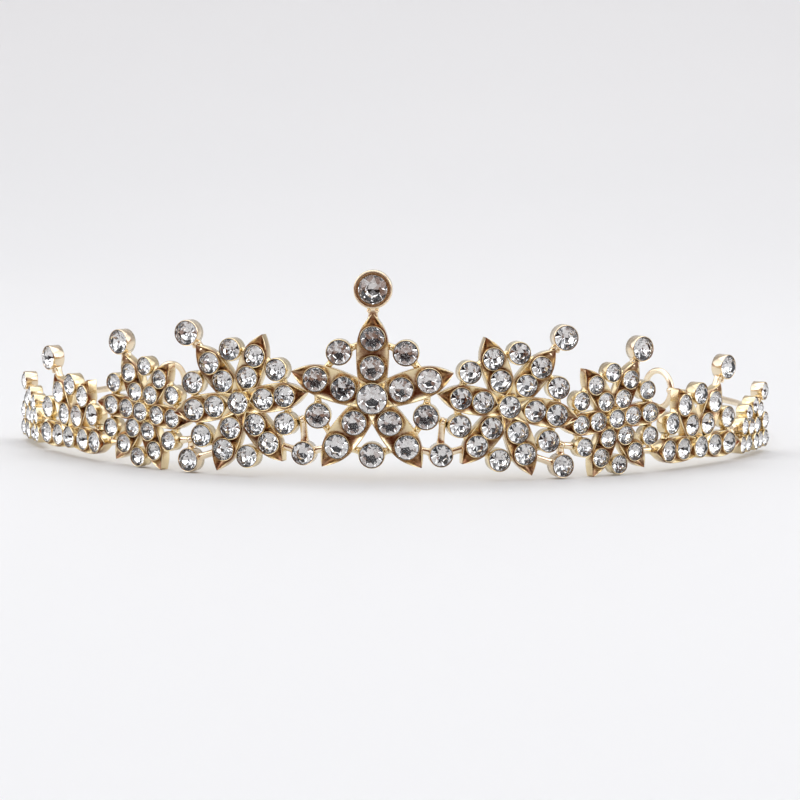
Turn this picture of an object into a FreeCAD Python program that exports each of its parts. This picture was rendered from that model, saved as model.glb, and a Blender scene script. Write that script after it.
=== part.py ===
"""Bridal tiara: nine cast star motifs set with round stones, joined side by side
round the front of a circle, and two wire arms that run back to end loops.

Units are millimetres.  +Z is up and the front faces -Y.  Every motif is a flat
casting whose back touches the plan circle; stations along the front are given as
arc lengths from the middle of the front, positive to the wearer's left (+X).
"""
import FreeCAD, Part
import math
import os
from FreeCAD import Placement, Rotation, Vector
import Sketcher

# ---------------------------------------------------------------- dimensions
COMMON = {
    "plan_radius": 64.0,         # circle that the flat backs of the castings touch
    "plan_centre_y": 10.57,      # plan circle's centre, from the middle of the whole object
    "plate_thickness": 1.6,      # petals of every casting
    "cup_height": 2.0,           # rims round the stones stand this far from the back
    "cup_wall": 0.28,            # metal round each stone
    "seat_floor": 0.4,           # metal left under each stone
    "girdle_height": 0.25,       # straight edge of a stone
    "crown_height": 0.65,        # facets above the girdle
    "table_ratio": 0.56,         # flat top of a stone, as a share of its diameter
    "tab_width": 1.0,            # cast tabs and link bars
    "tab_thickness": 1.3,
    "bar_lift": 0.2,             # bars and necks start this far in front of the back plane
    "link_stone": 3.5,           # the stones that hang between the motifs
    "wire_diameter": 1.2,
    "loop_diameter": 8.3,        # outside of the end loops
    "loop_angle": 131.8,         # end loops, round the plan circle from the front
    "belly_share": 0.58,         # a petal is widest this far along its length
    "root_share": 0.05,          # a petal starts this far along its length, under the hub's cup
    "root_width_share": 0.54,    # its width there, as a share of its full width
    "tab_share": 0.6,            # how far a cast tab runs from its cup towards the petal's middle line
    "tip_bite": 0.35,            # a top cup's neck wraps this much of the petal's tip
    "wall_bite": 0.75,           # link bars end this far into a cup's wall, as a share of it
    "culet_radius": 0.1,         # blunt point under a stone
    "relief_depth": 2.0,         # link bars leave this much clear behind the centre star's cups
    "relief_margin": 0.16,       # and this much round them, so that its back lies flat
}

STAR_FIELDS = ("petals", "spread", "station", "height", "lead_angle", "inner_reach", "outer_reach",
               "satellite_reach", "tip_reach", "petal_width", "stone", "hub_stone",
               "top_reach", "top_stone", "top_wall")
STARS = {
    "centre": (5, 360, 0.0, 12.7, 90.0, 4.65, 9.13, 8.67, 12.6, 5.0, 3.8, 4.7, 16.6, 4.6, 0.62),
    "inner": (6, 360, 20.6, 11.4, 49.6, 4.22, 7.81, 8.31, 11.0, 4.4, 3.4, 3.4, 13.74, 3.8, 0.3),
    "outer": (6, 360, 38.5, 8.95, 65.5, 3.30, 6.58, 7.23, 9.5, 3.7, 2.9, 2.9, 11.77, 3.8, 0.3),
    "side": (4, 180, 56.7, 3.25, 60.0, 4.15, 8.05, 8.55, 10.9, 4.3, 3.4, 3.4, 14.3, 3.8, 0.3),
    "end": (4, 180, 75.5, 2.3, 60.0, 3.00, 5.80, 6.10, 7.3, 3.4, 2.7, 2.7, 9.25, 2.9, 0.28),
}

doc = FreeCAD.newDocument("bridal_tiara")
sheet = doc.addObject("Spreadsheet::Sheet", "Dimensions")


def fill_sheet():
    """Write every driving dimension to the sheet, one row each, with its alias."""
    rows = dict(COMMON)
    for star, values in STARS.items():
        for field, value in zip(STAR_FIELDS, values):
            rows[f"{star}_{field}"] = value
    for row, (alias, value) in enumerate(rows.items(), start=1):
        sheet.set(f"A{row}", alias.replace("_", " "))
        sheet.set(f"B{row}", str(value))
        sheet.setAlias(f"B{row}", alias)
    doc.recompute()


def size(alias):
    """A driving dimension, read back from the sheet."""
    return float(sheet.get(alias))


def cell(alias):
    """The expression that names a cell of the sheet."""
    return f"Dimensions.{alias}"


# ---------------------------------------------------------------- placing
def plan_frame(station, height, side):
    """Frame on the plan circle: local X runs along the circle, Y up, Z out of the front.

    station is the arc length from the middle of the front and side is 1 or -1.
    """
    angle = side * station / size("plan_radius")
    along = Vector(math.cos(angle), math.sin(angle), 0)
    outward = Vector(math.sin(angle), -math.cos(angle), 0)
    base = outward * size("plan_radius") + Vector(0, size("plan_centre_y"), height)
    return Placement(base, Rotation(along, Vector(0, 0, 1), outward, "ZXY"))


def star_frame(star, side):
    """The frame of a star's own plane, with its origin at the hub."""
    return plan_frame(size(f"{star}_station"), size(f"{star}_height"), side)


def lead_angle(star, side):
    """Direction of the petal that carries the top stone, mirrored on the left side."""
    angle = size(f"{star}_lead_angle")
    return angle if side > 0 else 180 - angle


def petal_step(star):
    """Angle between neighbouring petals."""
    spread, count = size(f"{star}_spread"), size(f"{star}_petals")
    return spread / count if spread == 360 else spread / (count - 1)


def first_petal(star, side):
    """Direction that the polar patterns start from: the lead petal, or 0 on a half star."""
    return lead_angle(star, side) if size(f"{star}_spread") == 360 else 0.0


def polar(reach, angle):
    """A point at a reach and an angle in degrees."""
    return Vector(reach * math.cos(math.radians(angle)), reach * math.sin(math.radians(angle)), 0)


# ---------------------------------------------------------------- sketches
def base_plane(body, role="XY_Plane"):
    """One of a body's own origin planes."""
    return next(item for item in body.Origin.OriginFeatures if item.Role == role)


def new_sketch(body, name, angle=0.0, lift=None):
    """A sketch on the body's XY plane, turned by angle and lifted by a cell's value."""
    sketch = body.newObject("Sketcher::SketchObject", name)
    sketch.AttachmentSupport = [(base_plane(body), "")]
    sketch.MapMode = "FlatFace"
    sketch.AttachmentOffset = Placement(Vector(), Rotation(Vector(0, 0, 1), angle))
    if lift:
        sketch.setExpression("AttachmentOffset.Base.z", lift)
    return sketch


def add_circle(sketch, reach, diameter):
    """A circle on the sketch's X axis, or at its origin, bound to expressions.

    It is drawn at a first guess of place and size, which the constraints then replace.
    """
    guess_x, guess_radius = 4, 1.5
    index = sketch.addGeometry(Part.Circle(Vector(guess_x, 0, 0), Vector(0, 0, 1), guess_radius), False)
    if reach is None:
        sketch.addConstraint(Sketcher.Constraint("Coincident", index, 3, -1, 1))
    else:
        sketch.addConstraint(Sketcher.Constraint("PointOnObject", index, 3, -1))
        place = sketch.addConstraint(Sketcher.Constraint("DistanceX", -1, 1, index, 3, guess_x))
        sketch.setExpression(f"Constraints[{place}]", reach)
    width = sketch.addConstraint(Sketcher.Constraint("Diameter", index, 2 * guess_radius))
    sketch.setExpression(f"Constraints[{width}]", diameter)


def add_bar(sketch, reach, half_length):
    """A rectangle across the sketch's X axis: a cast tab, tab_width wide.

    It is drawn at a first guess of place and length, which the constraints then replace.
    """
    guess_x, guess_y, half = 6, 2, size("tab_width") / 2
    corners = [Vector(guess_x + half * right, guess_y * up, 0)
               for right, up in ((-1, -1), (1, -1), (1, 1), (-1, 1))]
    lines = [sketch.addGeometry(Part.LineSegment(corners[i], corners[(i + 1) % 4]), False) for i in range(4)]
    for i in range(4):
        sketch.addConstraint(Sketcher.Constraint("Coincident", lines[i], 2, lines[(i + 1) % 4], 1))
    for i, kind in ((0, "Horizontal"), (2, "Horizontal"), (3, "Vertical")):
        sketch.addConstraint(Sketcher.Constraint(kind, lines[i]))
    sketch.addConstraint(Sketcher.Constraint("Symmetric", lines[1], 1, lines[1], 2, -1))
    across = sketch.addConstraint(Sketcher.Constraint("DistanceX", lines[0], 1, lines[0], 2, 2 * half))
    length = sketch.addConstraint(Sketcher.Constraint("DistanceY", lines[1], 1, lines[1], 2, 2 * guess_y))
    place = sketch.addConstraint(Sketcher.Constraint("DistanceX", -1, 1, lines[3], 2, guess_x - half))
    sketch.setExpression(f"Constraints[{across}]", cell("tab_width"))
    sketch.setExpression(f"Constraints[{length}]", f"2 * ({half_length})")
    sketch.setExpression(f"Constraints[{place}]", f"{reach} - {cell('tab_width')} / 2")


def flank_radius(tip, middle, base):
    """Radius of the arc through three points of a petal's edge."""
    a, b, c = (middle - base).Length, (tip - base).Length, (tip - middle).Length
    area = abs((middle - base).cross(tip - base).z) / 2
    return a * b * c / (4 * area)


def add_leaf(sketch, star):
    """A petal along the sketch's X axis: two equal arcs from a short root to a pointed tip."""
    tip = Vector(size(f"{star}_tip_reach"), 0, 0)
    width = size(f"{star}_petal_width")
    middle = Vector(size("belly_share") * tip.x, width / 2, 0)
    root = Vector(size("root_share") * tip.x, size("root_width_share") * width / 2, 0)
    mirror = [Vector(point.x, -point.y, 0) for point in (root, middle)]
    upper = sketch.addGeometry(Part.Arc(tip, middle, root), False)
    lower = sketch.addGeometry(Part.Arc(mirror[0], mirror[1], tip), False)
    foot = sketch.addGeometry(Part.LineSegment(root, mirror[0]), False)
    for first, second in (((upper, 2), (foot, 1)), ((foot, 2), (lower, 1)), ((lower, 2), (upper, 1))):
        sketch.addConstraint(Sketcher.Constraint("Coincident", *first, *second))
    sketch.addConstraint(Sketcher.Constraint("PointOnObject", upper, 1, -1))
    sketch.addConstraint(Sketcher.Constraint("Symmetric", foot, 1, foot, 2, -1))
    sketch.addConstraint(Sketcher.Constraint("Equal", upper, lower))
    reach = sketch.addConstraint(Sketcher.Constraint("DistanceX", -1, 1, upper, 1, tip.x))
    root_x = sketch.addConstraint(Sketcher.Constraint("DistanceX", -1, 1, foot, 1, root.x))
    root_y = sketch.addConstraint(Sketcher.Constraint("DistanceY", foot, 2, foot, 1, 2 * root.y))
    sketch.addConstraint(Sketcher.Constraint("Radius", upper, flank_radius(tip, middle, root)))
    sketch.setExpression(f"Constraints[{reach}]", cell(f"{star}_tip_reach"))
    sketch.setExpression(f"Constraints[{root_x}]", f"{cell('root_share')} * {cell(f'{star}_tip_reach')}")
    sketch.setExpression(f"Constraints[{root_y}]",
                         f"{cell('root_width_share')} * {cell(f'{star}_petal_width')}")


# ---------------------------------------------------------------- castings
def pad(body, sketch, height):
    """Raise a sketch from the back plane to a height given as an expression."""
    feature = body.newObject("PartDesign::Pad", sketch.Name + "_pad")
    feature.Profile = sketch
    feature.setExpression("Length", height)
    sketch.Visibility = False
    return feature


def pocket(body, sketch):
    """Sink a stone seat from the rim of its cup down to the seat's floor."""
    feature = body.newObject("PartDesign::Pocket", sketch.Name + "_pocket")
    feature.Profile = sketch
    feature.setExpression("Length", f"{cell('cup_height')} - {cell('seat_floor')}")
    sketch.Visibility = False
    return feature


def repeat(body, name, originals, sketch, count, angle):
    """Repeat features round the hub."""
    pattern = body.newObject("PartDesign::PolarPattern", name)
    pattern.Originals = originals
    pattern.Axis = (sketch, ["N_Axis"])
    pattern.Angle = angle
    pattern.setExpression("Occurrences", count)
    body.Tip = pattern
    return pattern


def make_star(star, side, node):
    """A cast star: leaf petals, a hub, and cups between the petals held by tabs.

    Every stone has a cup rim and a blind round seat, and each step is patterned
    round the hub.  A half star has four petals over its straight lower row.
    """
    body = doc.addObject("PartDesign::Body", node)
    start, step = first_petal(star, side), petal_step(star)
    full = size(f"{star}_spread") == 360
    between = start + step / 2
    petals = cell(f"{star}_petals")
    gaps = petals if full else f"{petals} - 1"
    petal_sweep, gap_sweep = (360, 360) if full else (180, 180 - step)
    cup = f"{cell(f'{star}_stone')} + 2 * {cell('cup_wall')}"
    hub_cup = f"{cell(f'{star}_hub_stone')} + 2 * {cell('cup_wall')}"
    seat_lift = cell("cup_height")

    leaf = new_sketch(body, f"{node}_leaf", start)
    add_leaf(leaf, star)
    metal = [pad(body, leaf, cell("plate_thickness"))]
    for place in ("inner", "outer"):
        rim = new_sketch(body, f"{node}_{place}_rim", start)
        add_circle(rim, cell(f"{star}_{place}_reach"), cup)
        metal.append(pad(body, rim, cell("cup_height")))
    repeat(body, f"{node}_petals", metal, leaf, petals, petal_sweep)

    hub = new_sketch(body, f"{node}_hub", 0)
    add_circle(hub, None, hub_cup)
    pad(body, hub, cell("cup_height"))

    satellite = new_sketch(body, f"{node}_satellite", between)
    add_circle(satellite, cell(f"{star}_satellite_reach"), cup)
    tab = new_sketch(body, f"{node}_tab", between)
    reach = cell(f"{star}_satellite_reach")
    add_bar(tab, reach, f"{cell('tab_share')} * tan({step / 2} deg) * {reach}")
    metal = [pad(body, satellite, cell("cup_height")), pad(body, tab, cell("tab_thickness"))]
    blank = repeat(body, f"{node}_satellites", metal, satellite, gaps, gap_sweep)
    doc.recompute()
    solid_volume = blank.Shape.Volume

    seats = new_sketch(body, f"{node}_petal_seats", start, seat_lift)
    for place in ("inner", "outer"):
        add_circle(seats, cell(f"{star}_{place}_reach"), cell(f"{star}_stone"))
    repeat(body, f"{node}_petal_seat_ring", [pocket(body, seats)], leaf, petals, petal_sweep)
    seats = new_sketch(body, f"{node}_satellite_seats", between, seat_lift)
    add_circle(seats, cell(f"{star}_satellite_reach"), cell(f"{star}_stone"))
    repeat(body, f"{node}_satellite_seat_ring", [pocket(body, seats)], satellite, gaps, gap_sweep)
    seats = new_sketch(body, f"{node}_hub_seat", 0, seat_lift)
    add_circle(seats, None, cell(f"{star}_hub_stone"))
    body.Tip = pocket(body, seats)

    body.Placement = star_frame(star, side)
    doc.recompute()
    if body.Shape.Volume >= solid_volume:
        raise RuntimeError(f"{node}: the stone seats cut nothing")
    return body


# ---------------------------------------------------------------- cups, links and stones
def primitive(kind, name, frame, offset=Placement(), **sizes):
    """A Part primitive on a frame, with each size bound to an expression."""
    solid = doc.addObject(kind, name)
    for prop, expression in sizes.items():
        solid.setExpression(prop, expression)
    solid.Placement = frame.multiply(offset)
    return solid


def fuse(name, parts):
    """Join primitives into one piece."""
    joined = doc.addObject("Part::MultiFuse", name)
    joined.Shapes = parts
    return joined


def cut(name, base, tool):
    """Take one piece away from another."""
    result = doc.addObject("Part::Cut", name)
    result.Base, result.Tool = base, tool
    return result


def bar(name, frame, start, end):
    """A flat bar between two points of a frame's plane, tab_width wide, just off the plane."""
    run = end - start
    turn = Rotation(Vector(1, 0, 0), run)
    corner = start + turn.multVec(Vector(0, -size("tab_width") / 2, size("bar_lift")))
    return primitive("Part::Box", name, frame, Placement(corner, turn), Length=f"{run.Length}",
                     Width=cell("tab_width"), Height=f"{cell('tab_thickness')} - {cell('bar_lift')}")


def cup_with_bars(node, frame, centre, stone, wall, bars, castings):
    """A stone cup with its bars, hollowed for the stone and trimmed where it meets the castings."""
    at = Placement(centre, Rotation())
    seat_at = Placement(centre + Vector(0, 0, size("seat_floor")), Rotation())
    outside = primitive("Part::Cylinder", f"{node}_wall", frame, at,
                        Radius=f"{stone} / 2 + {wall}", Height=cell("cup_height"))
    strips = [bar(f"{node}_bar_{i}", frame, *ends) for i, ends in enumerate(bars)]
    piece = fuse(f"{node}_blank", [outside] + strips)
    seat = primitive("Part::Cylinder", f"{node}_seat", frame, seat_at, Radius=f"{stone} / 2",
                     Height=cell("cup_height"))
    piece = cut(f"{node}_hollow", piece, seat)
    return trim(node, piece, castings)


def trim(node, piece, castings):
    """Cut neighbouring castings away from a piece, so that it meets them face to face."""
    for i, casting in enumerate(castings):
        piece = cut(f"{node}_trim_{i}", piece, casting)
    return piece


def top_cup(star, side, node, casting):
    """The raised cup beyond the lead petal's tip, on a short neck."""
    angle = lead_angle(star, side)
    reach, tip = size(f"{star}_top_reach"), size(f"{star}_tip_reach")
    last_seat = size(f"{star}_outer_reach") + size(f"{star}_stone") / 2
    neck_start = max(tip - size("tip_bite"), last_seat + size("wall_bite") * size("cup_wall"))
    neck = (polar(neck_start, angle), polar(reach - size(f"{star}_top_stone") / 2, angle))
    return cup_with_bars(node, star_frame(star, side), polar(reach, angle), cell(f"{star}_top_stone"),
                         cell(f"{star}_top_wall"), [neck], [casting])


def stone_master(name, diameter):
    """One round stone: pointed back, straight girdle and a crown with a flat table."""
    depth = f"{cell('cup_height')} - {cell('seat_floor')} - {cell('girdle_height')}"
    frame = Placement()
    pavilion = primitive("Part::Cone", f"{name}_pavilion", frame, Radius1=cell("culet_radius"),
                         Radius2=f"{diameter} / 2", Height=depth)
    girdle = primitive("Part::Cylinder", f"{name}_girdle", frame, Radius=f"{diameter} / 2",
                       Height=cell("girdle_height"))
    girdle.setExpression("Placement.Base.z", depth)
    crown = primitive("Part::Cone", f"{name}_crown", frame, Radius1=f"{diameter} / 2",
                      Radius2=f"{diameter} / 2 * {cell('table_ratio')}", Height=cell("crown_height"))
    crown.setExpression("Placement.Base.z", f"{depth} + {cell('girdle_height')}")
    return fuse(name, [pavilion, girdle, crown])


def stone_group(node, master, frame, points):
    """Copies of one stone, seated at points of a frame's plane, as separate solids."""
    group = doc.addObject("Part::Feature", node)
    copies = []
    for point in points:
        copy = master.Shape.copy()
        copy.Placement = Placement(point + Vector(0, 0, size("seat_floor")), Rotation())
        copies.append(copy)
    group.Shape = Part.makeCompound(copies)
    group.Placement = frame
    return group


def petal_points(star, side):
    """Seats along the petals, inner and outer."""
    count, start, step = int(size(f"{star}_petals")), first_petal(star, side), petal_step(star)
    reaches = (size(f"{star}_inner_reach"), size(f"{star}_outer_reach"))
    return [polar(reach, start + i * step) for i in range(count) for reach in reaches]


def satellite_points(star, side):
    """Seats between the petals."""
    start, step = first_petal(star, side), petal_step(star)
    count = int(size(f"{star}_petals")) - (size(f"{star}_spread") != 360)
    reach = size(f"{star}_satellite_reach")
    return [polar(reach, start + (i + 0.5) * step) for i in range(count)]


# ---------------------------------------------------------------- wire arms
def wire_arm(node, side):
    """A wire arm along the plan circle behind the end star, closed into a round end loop."""
    run_radius = size("plan_radius") - size("wire_diameter") / 2
    loop_radius = (size("loop_diameter") - size("wire_diameter")) / 2
    level = size("loop_diameter") / 2
    start = math.degrees(size("end_station") / size("plan_radius"))
    stop = size("loop_angle") - math.degrees(math.asin(loop_radius / run_radius))
    centre = Vector(0, size("plan_centre_y"), level)
    first = start - 90 if side > 0 else -90 - stop
    arm = primitive("Part::Torus", f"{node}_run", Placement(centre, Rotation(Vector(0, 0, 1), first)),
                    Radius1=f"{cell('plan_radius')} - {cell('wire_diameter')} / 2",
                    Radius2=f"{cell('wire_diameter')} / 2", Angle3=f"{stop - start}")
    angle = math.radians(side * size("loop_angle"))
    outward = Vector(math.sin(angle), -math.cos(angle), 0)
    loop_at = Placement(centre + outward * run_radius, Rotation(Vector(0, 0, 1), outward))
    loop = primitive("Part::Torus", f"{node}_loop", loop_at,
                     Radius1=f"({cell('loop_diameter')} - {cell('wire_diameter')}) / 2",
                     Radius2=f"{cell('wire_diameter')} / 2")
    return fuse(f"{node}_wire", [arm, loop])


# ---------------------------------------------------------------- links between the motifs
def in_link(station, link_station, side, height):
    """A point given by arc length and height, in the plane of a link's own frame."""
    return Vector(side * (station - link_station), height, 0)


def cup_stop(star, direction, which, start, link_station, side):
    """Where a bar from a start point meets one of a star's cups: in the middle of its wall.

    direction is the cup's direction from the star's hub on the right side.
    """
    from_hub = polar(size(f"{star}_{which}_reach"), direction)
    centre = in_link(size(f"{star}_station") + from_hub.x, link_station, side,
                     size(f"{star}_height") + from_hub.y)
    wall_line = size(f"{star}_stone") / 2 + size("wall_bite") * size("cup_wall")
    return centre + (start - centre).normalize() * wall_line


def back_relief(name, direction, which, side):
    """The space behind one of the centre star's cups, which the link bars leave clear."""
    at = polar(size(f"centre_{which}_reach"), direction if side > 0 else 180 - direction)
    return primitive("Part::Cylinder", name, star_frame("centre", side),
                     Placement(at - Vector(0, 0, size("relief_depth")), Rotation()),
                     Radius=f"{cell('centre_stone')} / 2 + {cell('cup_wall')} + {cell('relief_margin')}",
                     Height=cell("relief_depth"))


# Each link: the two motifs it joins, the point where its bars meet and its hanging cup, both as
# (arc length, height), then its bars as (starting at the cup, star, direction from hub, ring of cups).
LINKS = {
    "inner_link": (("centre", "inner"), (10.6, 9.25), (10.3, 4.1), (
        (False, "centre", -18.0, "satellite"), (False, "inner", 199.6, "satellite"),
        (True, "centre", -54.0, "outer"), (True, "inner", 229.6, "outer"))),
    "outer_link": (("inner", "outer"), (29.3, 5.2), (29.3, 2.03), (
        (False, "inner", 319.6, "satellite"), (False, "outer", 215.5, "satellite"),
        (True, "inner", 289.6, "outer"))),
    "side_link": (("outer", "side"), (46.4, 3.4), None, (
        (False, "outer", 335.5, "satellite"), (False, "outer", 305.5, "outer"),
        (False, "side", 180.0, "outer"))),
    "end_link": (("side", "end"), (66.9, 4.6), None, (
        (False, "side", 30.0, "satellite"), (False, "side", 0.0, "outer"),
        (False, "end", 150.0, "satellite"), (False, "end", 180.0, "outer"))),
}


def make_link(name, side, node, castings):
    """A cast link between two motifs: bars that meet at a joint, with or without a hanging cup."""
    neighbours, joint, cup, ends = LINKS[name]
    frame = plan_frame(joint[0], 0.0, side)
    middle = in_link(joint[0], joint[0], side, joint[1])
    hanging = in_link(cup[0], joint[0], side, cup[1]) if cup else None
    bars = [(middle, hanging)] if cup else []
    for from_cup, star, direction, which in ends:
        start = hanging if from_cup else middle
        bars.append((start, cup_stop(star, direction, which, start, joint[0], side)))
    metal = [castings[f"{star}_star", side] for star in neighbours]
    metal += [back_relief(f"{node}_relief_{i}", direction, which, side)
              for i, (_, star, direction, which) in enumerate(ends) if star == "centre"]
    if cup:
        return cup_with_bars(node, frame, hanging, cell("link_stone"), cell("cup_wall"), bars, metal)
    strips = [bar(f"{node}_bar_{i}", frame, *ends) for i, ends in enumerate(bars)]
    return trim(node, fuse(f"{node}_blank", strips), metal)


# ---------------------------------------------------------------- assembly
def sides(star):
    """The placings of a motif: the centre star stands once, the others left and right."""
    return (("", 1),) if star == "centre" else (("_left", -1), ("_right", 1))


def build():
    """Build every piece and return them by node name."""
    fill_sheet()
    pieces, castings, masters = {}, {}, {}
    diameters = {size(f"{star}_{kind}"): cell(f"{star}_{kind}")
                 for star in STARS for kind in ("stone", "hub_stone", "top_stone")}
    diameters[size("link_stone")] = cell("link_stone")
    for number, (diameter, expression) in enumerate(sorted(diameters.items())):
        masters[diameter] = stone_master(f"master_stone_{number}", expression)
    doc.recompute()

    for star in STARS:
        for suffix, side in sides(star):
            node = f"{star}_star{suffix}"
            casting = make_star(star, side, node)
            if star == "outer":
                # this star lies partly over its larger neighbour's tip and is let into it
                casting = trim(f"{node}_let_in", casting, [castings["inner_star", side]])
            castings[f"{star}_star", side] = pieces[node] = casting
            if star == "centre":
                castings["centre_star", -1] = casting
            frame = star_frame(star, side)
            pieces[f"{star}_top_cup{suffix}"] = top_cup(star, side, f"{star}_top_cup{suffix}", casting)
            groups = {
                "hub_stone": (size(f"{star}_hub_stone"), [Vector()]),
                "petal_stones": (size(f"{star}_stone"), petal_points(star, side)),
                "satellite_stones": (size(f"{star}_stone"), satellite_points(star, side)),
                "top_stone": (size(f"{star}_top_stone"),
                              [polar(size(f"{star}_top_reach"), lead_angle(star, side))]),
            }
            if star != "centre":
                # the hub stone is the same as the petals' stones
                groups["petal_stones"][1].insert(0, groups.pop("hub_stone")[1][0])
            for kind, (diameter, points) in groups.items():
                label = f"{star}_{kind}{suffix}"
                pieces[label] = stone_group(label, masters[diameter], frame, points)

    for name in LINKS:
        joint, cup = LINKS[name][1:3]
        stones = []
        for suffix, side in sides(name):
            pieces[f"{name}{suffix}"] = make_link(name, side, f"{name}{suffix}", castings)
            if cup:
                stones.append((plan_frame(joint[0], 0.0, side), in_link(cup[0], joint[0], side, cup[1])))
        if cup:
            copies = [stone_group(f"{name}_stone_{i}", masters[size("link_stone")], frame, [point])
                      for i, (frame, point) in enumerate(stones)]
            pair = doc.addObject("Part::Feature", f"{name}_stones")
            pair.Shape = Part.makeCompound([copy.Shape for copy in copies])
            pieces[f"{name}_stones"] = pair

    for suffix, side in (("_left", -1), ("_right", 1)):
        pieces[f"wire_arm{suffix}"] = wire_arm(f"wire_arm{suffix}", side)
    return pieces


def export(pieces):
    """Check every object and every piece, then write one STEP file for each piece."""
    doc.recompute()
    for item in doc.Objects:
        if "Invalid" in item.State or "Error" in item.State:
            raise RuntimeError(f"{item.Name} failed: {item.State}")
    for node, piece in pieces.items():
        if piece.Shape.isNull() or not piece.Shape.isValid() or not piece.Shape.Solids:
            raise RuntimeError(f"{node} has no valid solid")
    os.makedirs("parts", exist_ok=True)
    whole = FreeCAD.BoundBox()
    for node, piece in pieces.items():
        piece.Label = node
        piece.Shape.exportStep(f"parts/{node}.step")
        whole.add(piece.Shape.optimalBoundingBox(False, False))
        print(f"{node}: {len(piece.Shape.Solids)} solids, {piece.Shape.Volume:.2f} mm3")
    print(f"{len(pieces)} nodes, x {whole.XMin:.2f} {whole.XMax:.2f}, y {whole.YMin:.2f} {whole.YMax:.2f}, "
          f"z {whole.ZMin:.3f} {whole.ZMax:.2f}")


export(build())
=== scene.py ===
"""Bridal tiara: nine cast gold stars set with faceted stones, their links and two wire arms.

Lengths are in millimetres while a piece is worked out and become metres as it is placed.
A piece's local frame has u along the front, v up and w out of the front face; w = 0 is the
flat back of the castings.
"""
import logging
import math
from dataclasses import dataclass, field, replace
from enum import Enum

import bpy
import numpy as np
from mathutils import Matrix, Vector


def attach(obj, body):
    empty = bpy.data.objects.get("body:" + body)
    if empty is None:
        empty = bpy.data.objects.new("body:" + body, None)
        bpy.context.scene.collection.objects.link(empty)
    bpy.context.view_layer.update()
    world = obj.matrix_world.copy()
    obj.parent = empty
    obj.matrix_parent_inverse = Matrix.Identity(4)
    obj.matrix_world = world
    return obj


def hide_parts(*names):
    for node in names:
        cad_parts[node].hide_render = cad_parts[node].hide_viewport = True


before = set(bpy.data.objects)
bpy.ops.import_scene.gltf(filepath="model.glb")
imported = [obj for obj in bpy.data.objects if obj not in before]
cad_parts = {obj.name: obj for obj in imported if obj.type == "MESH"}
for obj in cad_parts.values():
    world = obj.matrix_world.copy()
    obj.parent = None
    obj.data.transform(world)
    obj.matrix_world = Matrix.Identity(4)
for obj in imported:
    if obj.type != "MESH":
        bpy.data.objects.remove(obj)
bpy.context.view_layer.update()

LOG = logging.getLogger("tiara")
MM = 0.001
RIDES_ON = "root"
SHARP_FROM = 52.0
OUT_OF_PLANE = np.array([0.0, 0.0, 1.0])


class Slot(Enum):
    """Names of four material slots."""

    CASTING = "gold_casting"
    SETTING = "gold_setting"
    WIRE = "gold_wire"
    STONE = "clear_stone"


class Side(Enum):
    """The two halves of the tiara, as the sign of X."""

    LEFT = -1
    RIGHT = 1

    @property
    def suffix(self) -> str:
        """The ending of node names on this side."""
        return f"_{self.name.lower()}"


# ------------------------ shells
@dataclass
class Shell:
    """A closed surface: points, faces as index lists, a painted shade value per point and a slot per face.
    """

    points: np.ndarray
    faces: list
    recess: np.ndarray | None = None
    slots: np.ndarray | None = None

    def __post_init__(self) -> None:
        """Fill in the recess and slot arrays where they aren't given."""
        if self.recess is None:
            self.recess = np.zeros(len(self.points))
        if self.slots is None:
            self.slots = np.zeros(len(self.faces), int)

    def moved(self, offset: np.ndarray) -> "Shell":
        """The same shell, carried by an offset."""
        return replace(self, points=self.points + np.asarray(offset, float))

    def turned_about_w(self, degrees: float) -> "Shell":
        """The same shell, turned about the local w axis."""
        c, s = math.cos(math.radians(degrees)), math.sin(math.radians(degrees))
        turn = np.array([[c, s, 0], [-s, c, 0], [0, 0, 1]])
        return replace(self, points=self.points @ turn)

    def facing_out(self) -> "Shell":
        """The same shell with its faces reversed if they enclose a negative volume.

        The volume's sign is that of the sum, over a fan of triangles from each face's first
        corner, of the triple product of the corners.

        Returns:
            The shell, with its faces pointing outwards.
        """
        centred = self.points - self.points.mean(0)
        volume = 0.0
        for size in {len(face) for face in self.faces}:
            corners = centred[np.array([face for face in self.faces if len(face) == size])]
            for k in range(1, size - 1):
                cross = np.cross(corners[:, k], corners[:, k + 1])
                volume += float(np.einsum("ij,ij->", corners[:, 0], cross))
        if volume < 0:
            return replace(self, faces=[tuple(reversed(face)) for face in self.faces])
        return self


def joined(shells: list[Shell]) -> Shell:
    """Put several shells in one.

    Args:
        shells: The shells, each with its own points and faces.

    Returns:
        One shell that holds them all.
    """
    faces, start = [], 0
    for shell in shells:
        faces += [tuple(index + start for index in face) for face in shell.faces]
        start += len(shell.points)
    return Shell(np.concatenate([shell.points for shell in shells]), faces,
                 np.concatenate([shell.recess for shell in shells]),
                 np.concatenate([shell.slots for shell in shells]))


def rings_to_shell(rings: np.ndarray, recess: np.ndarray | None = None, loop: bool = False) -> Shell:
    """Close a stack of rings into a shell.

    Ring i is joined to ring i + 1 by a band of four-cornered faces.  The first and last rings
    are closed by one flat face each, or joined to each other.

    Args:
        rings: Array of rings by points by 3.
        recess: Array of rings by points, or None.
        loop: True if the last ring is joined to the first.

    Returns:
        The closed shell, facing out.
    """
    count, around = rings.shape[:2]
    index = np.arange(count * around).reshape(count, around)
    beside, above = np.roll(index, -1, axis=1), np.roll(index, -1, axis=0)
    bands = np.stack([index, beside, np.roll(beside, -1, axis=0), above], -1)
    faces = [tuple(face) for face in (bands if loop else bands[:-1]).reshape(-1, 4).tolist()]
    if not loop:
        faces += [tuple(index[0][::-1].tolist()), tuple(index[-1].tolist())]
    values = None if recess is None else recess.reshape(-1)
    return Shell(rings.reshape(-1, 3), faces, values).facing_out()


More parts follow.
